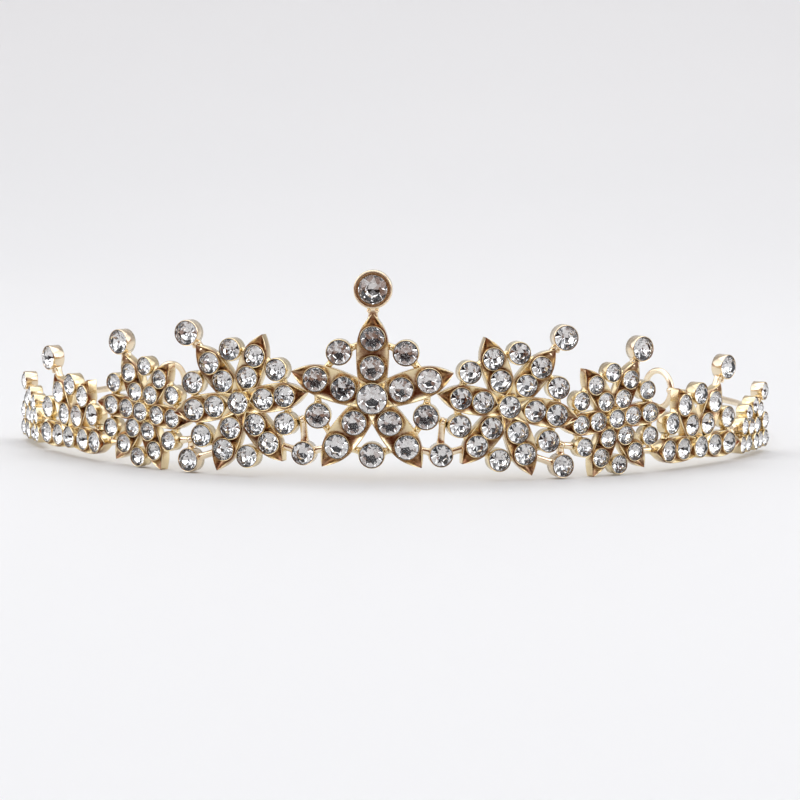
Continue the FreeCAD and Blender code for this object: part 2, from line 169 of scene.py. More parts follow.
def turned(profile: list[tuple[float, ...]], sides: int) -> Shell:
    """Turn a profile round the w axis.

    Ring i is the circle of radius r_i at height w_i.

    Args:
        profile: Radius, height and painted shade value of each ring, from one end to the other; the
        painted shade value may be left out everywhere.
        sides: Points round each ring.

    Returns:
        The closed shell.
    """
    radius, height, *recess = np.array(profile, float).T
    angle = np.linspace(0, 2 * np.pi, sides, endpoint=False)
    rings = np.stack([radius[:, None] * np.cos(angle), radius[:, None] * np.sin(angle),
                      np.repeat(height[:, None], sides, 1)], -1)
    return rings_to_shell(rings, np.repeat(recess[0][:, None], sides, 1) if recess else None)


def swept(path: np.ndarray, radii: np.ndarray, section: np.ndarray, flat: np.ndarray,
          loop: bool = False) -> Shell:
    """Carry a section along a path.

    At each path point the section's first coordinate runs along the fixed direction flat, made
    square to the path, its second along the cross product of the two, and both are scaled by
    the radii there.

    Args:
        path: Points by 3.
        radii: Points by 2, the section's half sizes.
        section: Round section of unit half size, points by 2.
        flat: The direction that the section's first coordinate keeps to.
        loop: True if the path closes on itself.

    Returns:
        The tube as a closed shell.
    """
    if loop:
        along = np.roll(path, -1, 0) - np.roll(path, 1, 0)
    else:
        along = np.gradient(path, axis=0)
    along /= np.linalg.norm(along, axis=1)[:, None]
    first = flat - (along @ flat)[:, None] * along
    first /= np.linalg.norm(first, axis=1)[:, None]
    second = np.cross(along, first)
    rings = (path[:, None] + first[:, None] * (radii[:, 0, None] * section[:, 0])[..., None]
             + second[:, None] * (radii[:, 1, None] * section[:, 1])[..., None])
    return rings_to_shell(rings, loop=loop)


def write_painted_shade(mesh: bpy.types.Mesh, recess: np.ndarray) -> None:
    """Put the painted shade values on a mesh, one for each point."""
    values = mesh.attributes.new("recess", "FLOAT", "POINT").data
    values.foreach_set("value", recess.astype(np.float32))


def with_seats(shell: Shell, cutters: Shell) -> Shell:
    """Take drilled seats out of a shell.

    Args:
        shell: The solid to drill.
        cutters: Separate closed shells to take away.

    Returns:
        What is left, with its painted shade values carried over.
    """
    both = []
    for name, part in (("blank", shell), ("cutters", cutters)):
        mesh = bpy.data.meshes.new(name)
        mesh.from_pydata(part.points.tolist(), [], part.faces)
        write_painted_shade(mesh, part.recess)
        both.append(bpy.data.objects.new(name, mesh))
        bpy.context.scene.collection.objects.link(both[-1])
    drill = both[0].modifiers.new("seats", "BOOLEAN")
    drill.operation, drill.solver, drill.object = "DIFFERENCE", "EXACT", both[1]
    depsgraph = bpy.context.evaluated_depsgraph_get()
    drilled = bpy.data.meshes.new_from_object(both[0].evaluated_get(depsgraph))
    points = np.empty(len(drilled.vertices) * 3)
    drilled.vertices.foreach_get("co", points)
    recess = np.empty(len(drilled.vertices))
    drilled.attributes["recess"].data.foreach_get("value", recess)
    faces = [tuple(face.vertices) for face in drilled.polygons]
    for item in both:
        bpy.data.meshes.remove(item.data)
    bpy.data.meshes.remove(drilled)
    return Shell(points.reshape(-1, 3), faces, recess)


def round_section(sides: int, squareness: float = 2.0) -> np.ndarray:
    """A superellipse of unit half size: |x|^n + |y|^n = 1 with n the squareness."""
    angle = np.linspace(0, 2 * np.pi, sides, endpoint=False)
    cosine, sine = np.cos(angle), np.sin(angle)
    power = 2 / squareness
    return np.stack([np.sign(cosine) * np.abs(cosine) ** power,
                     np.sign(sine) * np.abs(sine) ** power], 1)


# ------------------------ placing
@dataclass(frozen=True)
class LocalFrame:
    """A place and three directions, in the tiara's own frame."""

    origin: np.ndarray
    along: np.ndarray
    up: np.ndarray
    outward: np.ndarray

    def place(self, points: np.ndarray) -> np.ndarray:
        """Carry local points in millimetres to the tiara's frame in metres."""
        axes = np.stack([self.along, self.up, self.outward])
        return (self.origin + points @ axes) * MM


@dataclass(frozen=True)
class PlanCurve:
    """The circle, seen from above, that the flat backs of the castings touch."""

    radius: float = 64.0
    centre_y: float = 10.57

    def frame(self, station: float, height: float, side: Side) -> LocalFrame:
        """The tangent frame at an arc length from the middle of the front.

        Args:
            station: Arc length along the circle.
            height: Height above the standing surface.
            side: Which half.

        Returns:
            The frame, with its origin on the circle.
        """
        angle = side.value * station / self.radius
        along = np.array([math.cos(angle), math.sin(angle), 0.0])
        outward = np.array([math.sin(angle), -math.cos(angle), 0.0])
        origin = outward * self.radius + np.array([0.0, self.centre_y, height])
        return LocalFrame(origin, along, np.array([0.0, 0.0, 1.0]), outward)


def polar(reach: float, degrees: float) -> np.ndarray:
    """A point of a star's plane at a reach and an angle."""
    angle = math.radians(degrees)
    return np.array([reach * math.cos(angle), reach * math.sin(angle), 0.0])


def piece_from(name: str, shell: Shell, where: LocalFrame | None,
               finishes: list[bpy.types.Material], replaces: str,
               smooth: bool = True) -> bpy.types.Object:
    """Make a piece that stands for a CAD node.

    Args:
        name: The piece's name.
        shell: Its surface, in local millimetres, or in metres where there is no frame.
        where: The local frame, or None.
        finishes: Materials, in the order of the shell's slots.
        replaces: The CAD node that it stands for.
        smooth: False for facets.

    Returns:
        The new object.
    """
    mesh = bpy.data.meshes.new(name)
    points = where.place(shell.points) if where else shell.points
    mesh.from_pydata(points.tolist(), [], shell.faces)
    for finish in finishes:
        mesh.materials.append(finish)
    mesh.polygons.foreach_set("material_index", shell.slots.astype(np.int32))
    mesh.polygons.foreach_set("use_smooth", np.full(len(shell.faces), smooth))
    write_painted_shade(mesh, shell.recess)
    mesh.update()
    if smooth:
        mesh.set_sharp_from_angle(angle=math.radians(SHARP_FROM))
    piece = bpy.data.objects.new(name, mesh)
    bpy.context.scene.collection.objects.link(piece)
    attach(piece, RIDES_ON)
    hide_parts(replaces)
    LOG.info("%s: %d faces", name, len(shell.faces))
    return piece


# ------------------------ stones
@dataclass(frozen=True)
class BrilliantCut:
    """The proportions of a round stone, as shares of its radius, with eight-fold facets."""

    table: float = 0.55
    crown: float = 0.31
    break_line: float = 0.80
    pavilion: float = 0.84
    pavilion_line: float = 0.88
    girdle: float = 0.07
    folds: int = 8

    def shell(self, radius: float, depth: float) -> Shell:
        """The faceted stone, with its girdle's lower edge at w = 0.

        A kite facet lies in the plane through a table corner and the girdle point below it, so
        the corners between kites, at the break line, have the height of that plane there.  The
        pavilion's kites run to the point in the same way.

        Args:
            radius: The girdle's radius.
            depth: The most that the point may go below the girdle.

        Returns:
            The closed stone: slot 0 is clear, slot 1 is foiled.
        """
        n = self.folds
        step = 2 * np.pi / n
        on, off = np.arange(n) * step, (np.arange(n) + 0.5) * step
        half = math.cos(step / 2)
        girdle, crown = self.girdle * radius, self.crown * radius
        point = min(self.pavilion * radius, depth)
        break_height = crown * (1 - self.break_line * half) / (1 - self.table)
        line_depth = point * (1 - self.pavilion_line * half)
        rim = np.arange(2 * n) * step / 2

        def ring(angles: np.ndarray, reach: float, height: float) -> np.ndarray:
            """Points round the axis at one reach and height."""
            return np.stack([reach * np.cos(angles), reach * np.sin(angles),
                             np.full(len(angles), height)], 1)

        points = np.concatenate([
            ring(on, self.table * radius, girdle + crown),
            ring(off, self.break_line * radius, girdle + break_height),
            ring(rim, radius, girdle), ring(rim, radius, 0.0),
            ring(off, self.pavilion_line * radius, -line_depth), [[0.0, 0.0, -point]]])
        table, waist, upper, lower, belly, culet = 0, n, 2 * n, 4 * n, 6 * n, 7 * n
        faces: list[tuple[int, ...]] = [tuple(range(n))]
        foil: list[tuple[int, ...]] = []
        for k in range(n):
            after, before = (k + 1) % n, (k - 1) % n
            g0, g1, g2 = 2 * k, 2 * k + 1, (2 * k + 2) % (2 * n)
            faces += [(table + k, waist + k, table + after),
                      (table + k, waist + before, upper + g0, waist + k),
                      (waist + k, upper + g0, upper + g1), (waist + k, upper + g1, upper + g2),
                      (upper + g0, lower + g0, lower + g1, upper + g1),
                      (upper + g1, lower + g1, lower + g2, upper + g2)]
            foil += [(belly + k, lower + g1, lower + g0), (belly + k, lower + g2, lower + g1),
                     (culet, belly + k, lower + g0, belly + before)]
        slots = np.array([0] * len(faces) + [1] * len(foil))
        return Shell(points, faces + foil, None, slots).facing_out()


@dataclass
class StoneSetter:
    """Sets stones in seats, each a little turned and tipped as a hand sets them."""

    cut: BrilliantCut = field(default_factory=BrilliantCut)
    girdle_height: float = 1.84
    back_clearance: float = 0.17
    play: float = 0.10
    most_tip: float = 4.5
    seed: int = 41

    def __post_init__(self) -> None:
        """Start the seeded generator."""
        self.random = np.random.default_rng(self.seed)

    def stones(self, diameter: float, seats: list[np.ndarray], lift: float = 0.0) -> Shell:
        """Stones of one size at several seats.

        Args:
            diameter: Across the girdle.
            seats: Seat centres in the local plane.
            lift: How far these seats stand above the usual height.

        Returns:
            One shell of separate stones.
        """
        height = self.girdle_height + lift
        stone = self.cut.shell(diameter / 2 - self.play, height - self.back_clearance)
        shells = []
        for seat in seats:
            turn = self.random.uniform(0, 360)
            tip = self.random.normal(0, self.most_tip / 2, 2)
            tip = np.radians(tip.clip(-self.most_tip, self.most_tip))
            lean = np.array(Matrix.Rotation(tip[0], 3, "X") @ Matrix.Rotation(tip[1], 3, "Y"))
            shell = stone.turned_about_w(turn)
            shell = replace(shell, points=shell.points @ lean.T)
            shells.append(shell.moved(seat + height * OUT_OF_PLANE))
        return joined(shells)


# ------------------------ settings
@dataclass(frozen=True)
class Cup:
    """A round setting: a thin wall with a rolled lip over the stone's edge, and a dimpled back."""

    wall: float = 0.13
    height: float = 2.0
    back: float = -0.16
    lip: float = 0.02
    floor: float = 0.13
    sides: int = 28

    def shell(self, stone_diameter: float, lift: float = 0.0) -> Shell:
        """The cup for a stone, centred on the w axis.

        Its profile goes from the back's dimple out to the wall, up to the rounded lip, over it,
        and down inside to the floor.

        Args:
            stone_diameter: The stone that it holds.
            lift: How far its lip stands above the usual height.

        Returns:
            The closed cup.
        """
        inside, top = stone_diameter / 2, self.height + lift
        outside, dimple = inside + self.wall, 0.42 * inside
        # Each ring's third value is painted shade: the back's dimple, a little of the outer wall, the
        # inside of the lip, the inner wall and the floor are darkened as if in shadow.
        profile = [(0.02, self.back + 0.16, 0.6), (dimple - 0.06, self.back + 0.14, 0.6),
                   (dimple + 0.08, self.back, 0), (outside - 0.2, self.back, 0),
                   (outside, self.back + 0.18, 0.1), (outside, top - 0.2, 0.1),
                   (outside - 0.03, top - 0.05, 0), (outside - 0.075, top, 0),
                   (inside - self.lip + 0.02, top - 0.02, 0.4), (inside - self.lip, top - 0.09, 1),
                   (inside, top - 0.24, 1), (inside, self.floor, 1), (0.02, self.floor, 1)]
        return turned(profile, self.sides)


@dataclass(frozen=True)
class Bezel(Cup):
    """The wide setting over the middle of the front: a raised outer ring and a dished inner slope."""

    wall: float = 0.66
    sides: int = 48

    def shell(self, stone_diameter: float, lift: float = 0.0) -> Shell:
        """The bezel: the ring's top is round and the slope falls to the stone's edge.

        Args:
            stone_diameter: The stone that it holds.
            lift: How far its lip stands above the usual height.

        Returns:
            The closed bezel.
        """
        inside, top = stone_diameter / 2, self.height + lift
        outside = inside + self.wall
        profile = [(0.02, self.back + 0.18), (0.9, self.back + 0.16), (1.1, self.back),
                   (outside - 0.35, self.back), (outside - 0.1, self.back + 0.08),
                   (outside, self.back + 0.3),
                   (outside, top - 0.25), (outside - 0.04, top - 0.07), (outside - 0.12, top + 0.04),
                   (outside - 0.21, top + 0.06), (outside - 0.29, top + 0.01),
                   (outside - 0.36, top - 0.14),
                   (inside + 0.12, top - 0.26), (inside + 0.02, top - 0.20), (inside - 0.06, top - 0.10),
                   (inside - 0.14, top - 0.14), (inside, top - 0.22), (inside, self.floor),
                   (0.02, self.floor)]
        # Painted shade for each ring: on the back's middle, down the dished slope to the stone's edge, and
        # on the inner wall and floor.
        dark = [0.5, 0.5] + [0.0] * 9 + [0.35, 0.5, 0.3, 0.0, 0.0, 1.0, 1.0, 1.0]
        return turned([(*pair, value) for pair, value in zip(profile, dark, strict=True)], self.sides)


@dataclass(frozen=True)
class Strut:
    """A cast bar between two points of the plane, with flared ends and a soft square section."""

    width: float = 1.05
    height: float = 1.2
    flare: float = 0.28
    lift: float = 0.12
    squareness: float = 3.2
    stations: int = 11
    sides: int = 14
    bead_sides: int = 16

    def shell(self, start: np.ndarray, end: np.ndarray) -> Shell:
        """The bar from start to end.

        At the share t of its length its half width is half the width times
        1 + flare (2 t - 1)^4, and its height swells by a third of that.

        Args:
            start: One end, in the plane w = 0.
            end: The other end.

        Returns:
            The closed bar, its back near w = 0.
        """
        share = np.linspace(0, 1, self.stations)
        swell = self.flare * (2 * share - 1) ** 4
        half_width, half_height = self.width / 2 * (1 + swell), self.height / 2 * (1 + swell / 3)
        path = start + (end - start) * share[:, None]
        path[:, 2] = self.lift + self.height / 2
        section = round_section(self.sides, self.squareness)
        return swept(path, np.stack([half_height, half_width], 1), section, OUT_OF_PLANE)

    def bead(self, where: np.ndarray, radius: float) -> Shell:
        """A dome on the bar: rings at the angle a have radius r cos a and height r sin a.

        Args:
            where: Its middle, in the plane w = 0.
            radius: Its radius r.

        Returns:
            The closed dome.
        """
        angle = np.radians([-35, 0, 20, 40, 58, 74, 87])
        rise = self.height + 0.02
        profile = [(radius * math.cos(a), rise + radius * math.sin(a)) for a in angle]
        return turned(profile, self.bead_sides).moved(where)


# ------------------------ stars
@dataclass(frozen=True)
class Petal:
    """A leaf-shaped petal, broad to near its pointed tip, dished between raised rims."""

    tip: float
    width: float
    thickness: float = 1.6
    dish: float = 0.62
    rim: float = 0.12
    root_share: float = 0.05
    belly_share: float = 0.5
    root_loss: float = 0.36
    tip_power: float = 2.8
    least_half: float = 0.035
    rim_inset: float = 0.32
    rim_full_at: float = 0.9
    dish_from: float = 0.25
    dish_run: float = 1.1
    brown_from: float = 0.70
    brown_run: float = 0.22
    inside_rims: float = 0.66
    rows: int = 46

    def half_width(self, reach: np.ndarray) -> np.ndarray:
        """Half the petal's width at a reach.

        With s the share of the length and b the belly's share, it is half the width times
        1 - ((s - b) / (1 - b))^p beyond the belly, and 1 - k ((b - s) / b)^2 before it.

        Args:
            reach: Distances from the star's middle.

        Returns:
            Half the width at each.
        """
        share = reach / self.tip - self.belly_share
        beyond = 1 - np.clip(share / (1 - self.belly_share), 0, 1) ** self.tip_power
        before = self.root_loss * np.clip(-share / self.belly_share, 0, 1) ** 2
        return self.width / 2 * (beyond - before)

    def shell(self, cups: list[tuple[float, float]]) -> Shell:
        """The petal along the u axis.

        Across a section of half width h, the top is a dish of depth d (1 - t^2) between rims
        that are inset from the edge, the edge is rounded, and the back is flat.  The insets and
        the depth d shrink towards the tip with h.

        Args:
            cups: Reach and outside radius of the cups that stand on it, round which a ring of
            painted shade is laid.

        Returns:
            The closed petal.
        """
        share = np.sin(np.linspace(0, np.pi / 2, self.rows)) ** 1.2
        reach = self.tip * (self.root_share + (1 - self.root_share) * share)
        half = np.maximum(self.half_width(reach), self.least_half)
        small = np.clip(half / self.rim_full_at, 0, 1)
        across = np.array([0.0, 0.22, 0.44, 0.64, 0.82, 1.0])
        insets = np.array([0.22, 0.15, 0.08, 0.02, 0.0, 0.0, 0.05, 0.18])
        falls = np.array([-0.6 * self.rim, -self.rim, -0.9 * self.rim, -0.2 * self.rim, 0.16])
        deep = self.dish * np.clip((half - self.dish_from) / self.dish_run, 0, 1)
        top = np.full_like(reach, self.thickness)
        inner = (half - self.rim_inset * small)[:, None] * across
        inner_w = top[:, None] - deep[:, None] * (1 - across ** 2)
        outer = half[:, None] - small[:, None] * insets
        outer_w = np.concatenate([top[:, None] - small[:, None] * falls,
                                  np.repeat([[0.2, 0.06, 0.0]], len(reach), 0)], 1)
        right = np.concatenate([inner, outer], 1)
        right_w = np.concatenate([inner_w, outer_w], 1)
        lateral = np.concatenate([right, -right[:, ::-1][:, :-1]], 1)
        height = np.concatenate([right_w, right_w[:, ::-1][:, :-1]], 1)
        rings = np.stack([np.repeat(reach[:, None], lateral.shape[1], 1), lateral, height], -1)
        recess = np.zeros_like(height)
        # Painted shade: a dark ring round each cup, from its wall out to 0.5 mm, on the front only.
        for cup_reach, cup_radius in cups:
            gap = np.hypot(rings[..., 0] - cup_reach, rings[..., 1]) - cup_radius
            recess = np.maximum(recess, np.clip(1 - gap / 0.5, 0, 1))
        recess *= height > 0.5 * self.thickness
        return rings_to_shell(rings, recess)

    def with_painted_shade(self, leaf: Shell, degrees: float) -> Shell:
        """The petal with painted shade and reflection in its dish, most in the lower half and at the tip.

        The painted shade value is at least the depth below the rims, as a share of half the dish,
        times 0.2 + 0.8 L, where L goes from 0 at the upper rim to 1 at the lower one.  Towards the
        tip, inside the rims, it grows to at least 0.7 + 0.3 L.

        Args:
            leaf: The petal along the u axis.
            degrees: The direction that it will be turned to.

        Returns:
            The same petal with new recess values.
        """
        reach, lateral, height = leaf.points.T
        share = lateral / np.maximum(self.half_width(reach), 0.2)
        # Painted reflection and shade: darker in the lower half of the dish, in its deep middle and at the
        # tip, where the gold would reflect dark surroundings.
        lower = np.clip(0.5 - 0.9 * share * math.cos(math.radians(degrees)), 0, 1)
        front = height > 0.5 * self.thickness
        depth = np.clip((self.thickness - height) / (0.5 * self.dish), 0, 1) * front
        point = np.clip((reach / self.tip - self.brown_from) / self.brown_run, 0, 1) * front
        point *= np.abs(share) < self.inside_rims
        browns = [leaf.recess, depth * (0.2 + 0.8 * lower), point * (0.7 + 0.3 * lower)]
        return replace(leaf, recess=np.maximum.reduce(browns))


@dataclass(frozen=True)
class StarPattern:
    """One kind of star: its petals, its seats and its place on the plan curve."""

    name: str
    petals: int
    spread: float
    station: float
    height: float
    lead_angle: float
    inner_reach: float
    outer_reach: float
    satellite_reach: float
    tip_reach: float
    petal_width: float
    stone: float
    hub_stone: float
    top_reach: float
    top_stone: float
    setting: Cup = Cup()

    @property
    def step(self) -> float:
        """Angle between neighbouring petals."""
        return self.spread / (self.petals if self.spread == 360 else self.petals - 1)

    def lead(self, side: Side) -> float:
        """Direction of the petal that carries the top stone."""
        return self.lead_angle if side is Side.RIGHT else 180 - self.lead_angle

    def petal_angles(self, side: Side) -> list[float]:
        """Directions of all petals."""
        first = self.lead(side) if self.spread == 360 else 0.0
        return [first + i * self.step for i in range(self.petals)]

    def gap_angles(self, side: Side) -> list[float]:
        """Directions between the petals, where the satellite cups stand."""
        angles = self.petal_angles(side)
        return [angle + self.step / 2 for angle in (angles if self.spread == 360 else angles[:-1])]


CENTRE = StarPattern("centre", 5, 360, 0.0, 12.7, 90.0, 4.65, 9.13, 8.67, 12.6, 5.0, 3.8, 4.7,
                     16.6, 4.6, Bezel())
SIDE_STARS = (
    StarPattern("inner", 6, 360, 20.6, 11.4, 49.6, 4.22, 7.81, 8.31, 11.0, 4.4, 3.4, 3.4, 13.74, 3.8),
    StarPattern("outer", 6, 360, 38.5, 8.95, 65.5, 3.30, 6.58, 7.23, 9.5, 3.7, 2.9, 2.9, 11.77, 3.8),
    StarPattern("side", 4, 180, 56.7, 3.25, 60.0, 4.15, 8.05, 8.55, 10.9, 4.3, 3.4, 3.4, 14.3, 3.8),
    StarPattern("end", 4, 180, 75.5, 2.3, 60.0, 3.00, 5.80, 6.10, 7.3, 3.4, 2.7, 2.7, 9.25, 2.9),
)


@dataclass
class Star:
    """A cast star with its top cup and its stones."""

    pattern: StarPattern
    side: Side
    curve: PlanCurve
    setter: StoneSetter
    cup: Cup = field(default_factory=Cup)
    strut: Strut = field(default_factory=Strut)
    hub_lift: float = 0.22
    petal_drop: float = 0.10
    tip_growth: float = 0.03
    tab_lean: float = 16.0
    tab_bite: float = 0.4
    tab_start: float = 0.96
    neck_bite: float = 1.0
    neck_width: float = 1.15
    centre_neck_width: float = 1.5
    neck_flare: float = 0.35
    bead_radius: float = 0.38
    neck_bead: float = 0.34
    seat_floor: float = 0.08
    drill_top: float = 3.0

    @property
    def suffix(self) -> str:
        """The ending of this star's node names."""
        return "" if self.pattern is CENTRE else self.side.suffix

    @property
    def where(self) -> LocalFrame:
        """The star's own plane."""
        return self.curve.frame(self.pattern.station, self.pattern.height, self.side)

    def petal_seats(self) -> list[np.ndarray]:
        """Seat centres along the petals."""
        reaches = (self.pattern.inner_reach, self.pattern.outer_reach)
        return [polar(reach, angle) for angle in self.pattern.petal_angles(self.side)
                for reach in reaches]

    def satellite_seats(self) -> list[np.ndarray]:
        """Seat centres between the petals."""
        return [polar(self.pattern.satellite_reach, a) for a in self.pattern.gap_angles(self.side)]

    def casting(self) -> Shell:
        """Petals with drilled seats, cups, the hub's cup and the tabs of the casting.

        Returns:
            The casting, as closed shells that overlap.
        """
        pattern, cup = self.pattern, self.cup
        radius = pattern.stone / 2 + cup.wall
        petal = Petal(pattern.tip_reach * (1 + self.tip_growth), pattern.petal_width)
        seats = [(pattern.inner_reach, pattern.stone), (pattern.outer_reach, pattern.stone),
                 (0.0, pattern.hub_stone)]
        bits = []
        for reach, diameter in seats:
            bore = diameter / 2 + cup.wall / 2
            bit = turned([(bore, self.seat_floor), (bore, self.drill_top)], cup.sides)
            bits.append(bit.moved([reach, 0, 0]))
        leaf = with_seats(petal.shell([(reach, radius) for reach, _ in seats[:2]]), joined(bits))
        shells = [petal.with_painted_shade(leaf, angle).turned_about_w(angle)
                  for angle in pattern.petal_angles(self.side)]
        collar = cup.shell(pattern.stone, -self.petal_drop)
        shells += [collar.moved(seat) for seat in self.petal_seats()]
        shells += [cup.shell(pattern.stone).moved(seat) for seat in self.satellite_seats()]
        shells.append(cup.shell(pattern.hub_stone, self.hub_lift))
        gap = math.radians(pattern.step / 2)
        clear = pattern.satellite_reach * math.sin(gap) - pattern.petal_width / 2 + self.tab_bite
        length = clear / math.cos(gap - math.radians(self.tab_lean))
        for angle in pattern.gap_angles(self.side):
            middle = polar(pattern.satellite_reach, angle)
            for sign in (-1, 1):
                across = polar(1.0, angle + sign * (90 + self.tab_lean))
                start = middle + radius * self.tab_start * across
                shells.append(self.strut.shell(start, middle + length * across))
                place = middle + (radius + 0.9 * self.bead_radius) * across
                shells.append(self.strut.bead(place, self.bead_radius))
        return joined(shells)

    def top_cup(self) -> Shell:
        """The raised cup on its short neck beyond the lead petal, with a bead on each side.

        Returns:
            The cup, its neck and the beads, as closed shells that overlap.
        """
        pattern, angle = self.pattern, self.pattern.lead(self.side)
        radius = pattern.top_stone / 2 + pattern.setting.wall
        start = max(pattern.tip_reach * (1 + self.tip_growth) - self.neck_bite,
                    pattern.outer_reach + pattern.stone / 2 + self.cup.wall)
        end = pattern.top_reach - radius
        cup = pattern.setting.shell(pattern.top_stone).moved(polar(pattern.top_reach, angle))
        wide = Strut(width=self.centre_neck_width if pattern is CENTRE else self.neck_width,
                     flare=self.neck_flare)
        neck = wide.shell(polar(start, angle), polar(end + 0.15, angle))
        beads = [wide.bead(polar(end - 0.25, angle) + polar(sign * 0.42 * wide.width, angle + 90),
                           self.neck_bead) for sign in (-1, 1)]
        return joined([cup, neck] + beads)

    def build(self, gold: "Golds", stone: "Stones") -> None:
        """Make every piece of the star.

        Args:
            gold: The metal finishes.
            stone: The stone finishes.
        """
        pattern, ending, where = self.pattern, self.suffix, self.where
        node = f"{pattern.name}_star{ending}"
        piece_from(f"{node}_casting", self.casting(), where, [gold.casting], node)
        node = f"{pattern.name}_top_cup{ending}"
        piece_from(f"{node}_setting", self.top_cup(), where, [gold.setting], node)
        groups = {
            "petal_stones": self.setter.stones(pattern.stone, self.petal_seats(), -self.petal_drop),
            "satellite_stones": self.setter.stones(pattern.stone, self.satellite_seats()),
            "top_stone": self.setter.stones(
                pattern.top_stone, [polar(pattern.top_reach, pattern.lead(self.side))]),
        }
        hub = self.setter.stones(pattern.hub_stone, [np.zeros(3)], self.hub_lift)
        if pattern is CENTRE:
            groups["hub_stone"] = hub
        else:
            groups["petal_stones"] = joined([hub, groups["petal_stones"]])
        for kind, shell in groups.items():
            node = f"{pattern.name}_{kind}{ending}"
            piece_from(f"{node}_cut", shell, where, stone.layers, node, smooth=False)


# ------------------------ links
@dataclass(frozen=True)
class LinkEnd:
    """Where one bar of a link ends: on a cup of a star, seen from the star's hub on the right side."""

    star: StarPattern
    direction: float
    reach: float
    from_cup: bool = False


@dataclass(frozen=True)
class LinkPattern:
    """A link between two stars: where its bars meet, and the cup that hangs from it, if any."""

    name: str
    joint: tuple[float, float]
    hanging: tuple[float, float] | None
    ends: tuple[LinkEnd, ...]


def link_patterns() -> tuple[LinkPattern, ...]:
    """The four links of one side, from the middle outwards.

    Returns:
        The patterns, with directions and places as they are on the right side.
    """
    inner, outer, side, end = SIDE_STARS
    return (
        LinkPattern("inner_link", (10.6, 9.25), (10.3, 4.1), (
            LinkEnd(CENTRE, -18.0, CENTRE.satellite_reach),
            LinkEnd(inner, 199.6, inner.satellite_reach),
            LinkEnd(CENTRE, -54.0, CENTRE.outer_reach, True),
            LinkEnd(inner, 229.6, inner.outer_reach, True))),
        LinkPattern("outer_link", (29.3, 5.2), (29.3, 2.03), (
            LinkEnd(inner, 319.6, inner.satellite_reach), LinkEnd(outer, 215.5, outer.satellite_reach),
            LinkEnd(inner, 289.6, inner.outer_reach, True))),
        LinkPattern("side_link", (46.4, 3.4), None, (
            LinkEnd(outer, 335.5, outer.satellite_reach), LinkEnd(outer, 305.5, outer.outer_reach),
            LinkEnd(side, 180.0, side.outer_reach))),
        LinkPattern("end_link", (66.9, 4.6), None, (
            LinkEnd(side, 30.0, side.satellite_reach), LinkEnd(side, 0.0, side.outer_reach),
            LinkEnd(end, 150.0, end.satellite_reach), LinkEnd(end, 180.0, end.outer_reach))),
    )


@dataclass
class Link:
    """A cast link between two stars."""

    pattern: LinkPattern
    side: Side
    curve: PlanCurve
    stone: float = 3.5
    wall_bite: float = 0.6
    clearance: float = 0.04
    bead_share: float = 0.55
    cup: Cup = field(default_factory=Cup)
    strut: Strut = field(default_factory=Strut)

    @property
    def where(self) -> LocalFrame:
        """The link's own plane, with v counted from the standing surface."""
        return self.curve.frame(self.pattern.joint[0], 0.0, self.side)

    def point(self, station: float, height: float) -> np.ndarray:
        """A point of the link's plane from its arc length and height."""
        return np.array([self.side.value * (station - self.pattern.joint[0]), height, 0.0])

    def bar_end(self, end: LinkEnd, start: np.ndarray) -> np.ndarray:
        """Where a bar meets a cup's wall, on the line from the start to the cup's centre.

        Args:
            end: The bar's end.
            start: Where the bar starts, in the link's plane.

        Returns:
            The point in the cup's wall.
        """
        from_hub = polar(end.reach, end.direction)
        centre = self.point(end.star.station + from_hub[0], end.star.height + from_hub[1])
        away = (start - centre) / np.linalg.norm(start - centre)
        return centre + away * (end.star.stone / 2 + self.cup.wall * self.wall_bite)

    def build(self, gold: "Golds") -> None:
        """Make the link's metal.

        Args:
            gold: The metal finishes.
        """
        joint = self.point(*self.pattern.joint)
        hanging = self.point(*self.pattern.hanging) if self.pattern.hanging else None
        shells, cup_edge = [], self.stone / 2 + self.clearance
        for end in self.pattern.ends:
            start = hanging if end.from_cup else joint
            target = self.bar_end(end, start)
            if end.from_cup:
                start = start + (target - start) / np.linalg.norm(target - start) * cup_edge
            shells.append(self.strut.shell(start, target))
        if hanging is not None:
            shells.append(self.strut.shell(joint, hanging + np.array([0, cup_edge, 0])))
            shells.append(self.cup.shell(self.stone).moved(hanging))
        shells.append(self.strut.bead(joint, self.bead_share * self.strut.width))
        node = f"{self.pattern.name}{self.side.suffix}"
        piece_from(f"{node}_setting", joined(shells), self.where, [gold.setting], node)


def hang_link_stones(pattern: LinkPattern, curve: PlanCurve, setter: StoneSetter,
                     stone: "Stones") -> None:
    """Set the pair of stones, left and right, that hang in a link's cups.

    Args:
        pattern: The link.
        curve: The plan curve.
        setter: Who sets the stones.
        stone: The stone finishes.
    """
    pair = []
    for side in Side:
        link = Link(pattern, side, curve)
        shell = setter.stones(link.stone, [link.point(*pattern.hanging)])
        pair.append(replace(shell, points=link.where.place(shell.points)))
    node = f"{pattern.name}_stones"
    piece_from(f"{node}_cut", joined(pair), None, stone.layers, node, smooth=False)


